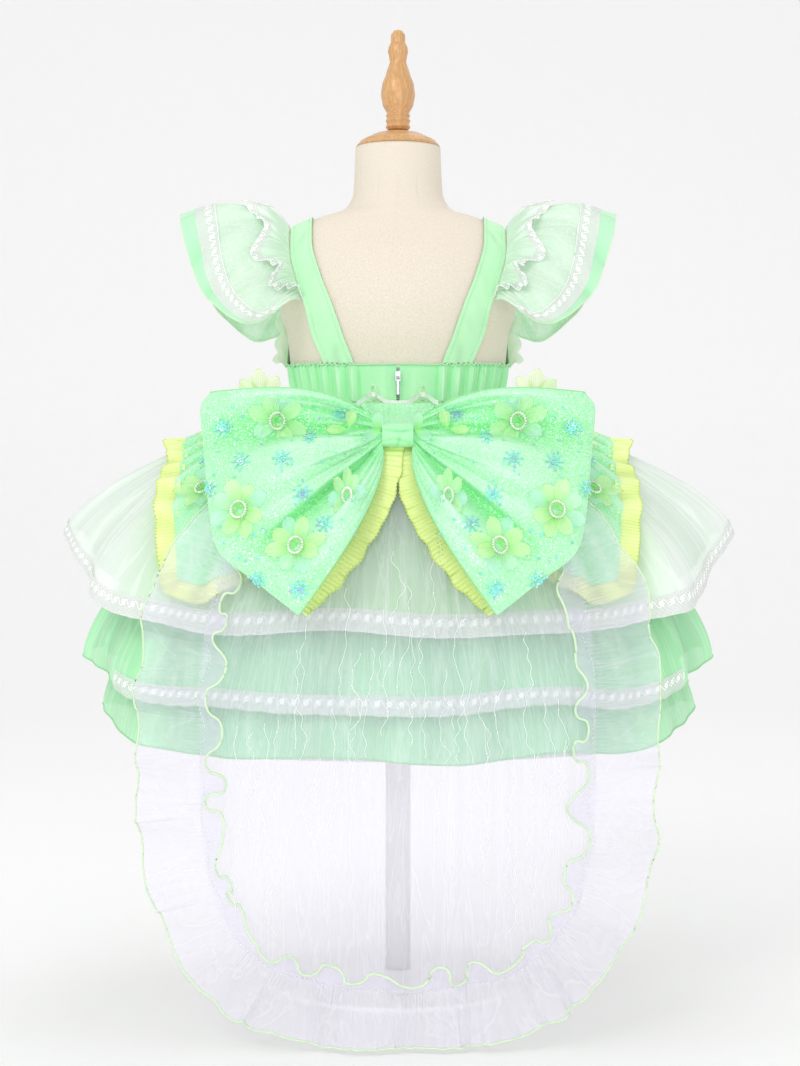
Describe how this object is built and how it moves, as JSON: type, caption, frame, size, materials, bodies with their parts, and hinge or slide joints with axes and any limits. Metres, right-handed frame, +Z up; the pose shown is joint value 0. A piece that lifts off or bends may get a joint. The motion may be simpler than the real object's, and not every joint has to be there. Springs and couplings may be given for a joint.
{
  "type": "lolita dress on a dress form",
  "caption": "Child's tiered lolita dress with flutter sleeves, a large flowered back bow and a sheer train, worn by a limbless linen dress form on a pole stand.",
  "frame": {"origin": "centre of the stand's flat underside, on the floor", "axes": "+Z up; -Y towards the back of the dress, which the picture shows; +X to the right seen from there"},
  "size_m": [0.6592, 0.5114, 0.951],
  "materials": {
    "linen": "plain-woven natural linen, matt",
    "turned_wood": "varnished turned beech",
    "white_enamel": "white enamel, satin",
    "mint_satin": "matt mint satin",
    "sleeve_organza": "sheer mint organza with glitter",
    "white_lace": "fine white lace",
    "zip_tape": "woven zip tape",
    "zip_metal": "bright nickel",
    "white_cotton": "plain cotton lining",
    "pale_organza": "pale organza over net",
    "mint_organza": "mint organza",
    "glitter_tulle": "glitter tulle over mint satin",
    "yellow_trim": "knife-pleated yellow chiffon",
    "sheer_organza": "sheer crinkled organza",
    "pale_ribbon": "pale satin ribbon",
    "flower_film": "thin translucent petals"
  },
  "bodies": {
    "dress": {"form_torso": "linen", "form_neck_cap": "turned_wood", "form_finial": "turned_wood", "form_pole": "white_enamel", "form_base": "white_enamel", "bodice_front": "mint_satin", "bodice_back_left": "mint_satin", "bodice_back_right": "mint_satin", "strap_left": "mint_satin", "strap_right": "mint_satin", "sleeve_left": "sleeve_organza", "sleeve_right": "sleeve_organza", "sleeve_lace_left": "white_lace", "sleeve_lace_right": "white_lace", "sleeve_frill_left": "white_lace", "sleeve_frill_right": "white_lace", "side_frill_left": "white_lace", "side_frill_right": "white_lace", "zip_tape": "zip_tape", "zip_slider": "zip_metal", "underskirt": "white_cotton", "tier_a": "pale_organza", "tier_b": "mint_organza", "tier_c": "mint_organza", "lace_a": "white_lace", "lace_b": "white_lace", "peplum_left": "glitter_tulle", "peplum_right": "glitter_tulle", "peplum_trim_left": "yellow_trim", "peplum_trim_right": "yellow_trim", "train_panel": "sheer_organza", "train_ruffle": "sheer_organza", "bow_loop_left": "glitter_tulle", "bow_loop_right": "glitter_tulle", "bow_knot": "mint_satin", "bow_trim_left": "yellow_trim", "bow_trim_right": "yellow_trim", "bow_ribbon": "pale_ribbon", "ribbon_loop_left": "pale_ribbon", "ribbon_loop_right": "pale_ribbon", "flower_wing_left_1": "flower_film", "flower_wing_left_2": "flower_film", "flower_wing_left_3": "flower_film", "flower_wing_left_4": "flower_film", "flower_peplum_left_1": "flower_film", "flower_peplum_left_2": "flower_film", "flower_edge_left": "flower_film", "flower_wing_right_1": "flower_film", "flower_wing_right_2": "flower_film", "flower_wing_right_3": "flower_film", "flower_wing_right_4": "flower_film", "flower_peplum_right_1": "flower_film", "flower_peplum_right_2": "flower_film", "flower_edge_right": "flower_film"},
    "zip_pull": {"zip_pull": "zip_metal"}
  },
  "joints": [
    {"name": "zip_pull_swing", "type": "hinge", "parent": "dress", "child": "zip_pull", "pos_m": [0, -0.08848, 0.59575], "axis": [-1, 0, 0], "range_deg": [0, 150]}
  ]
}
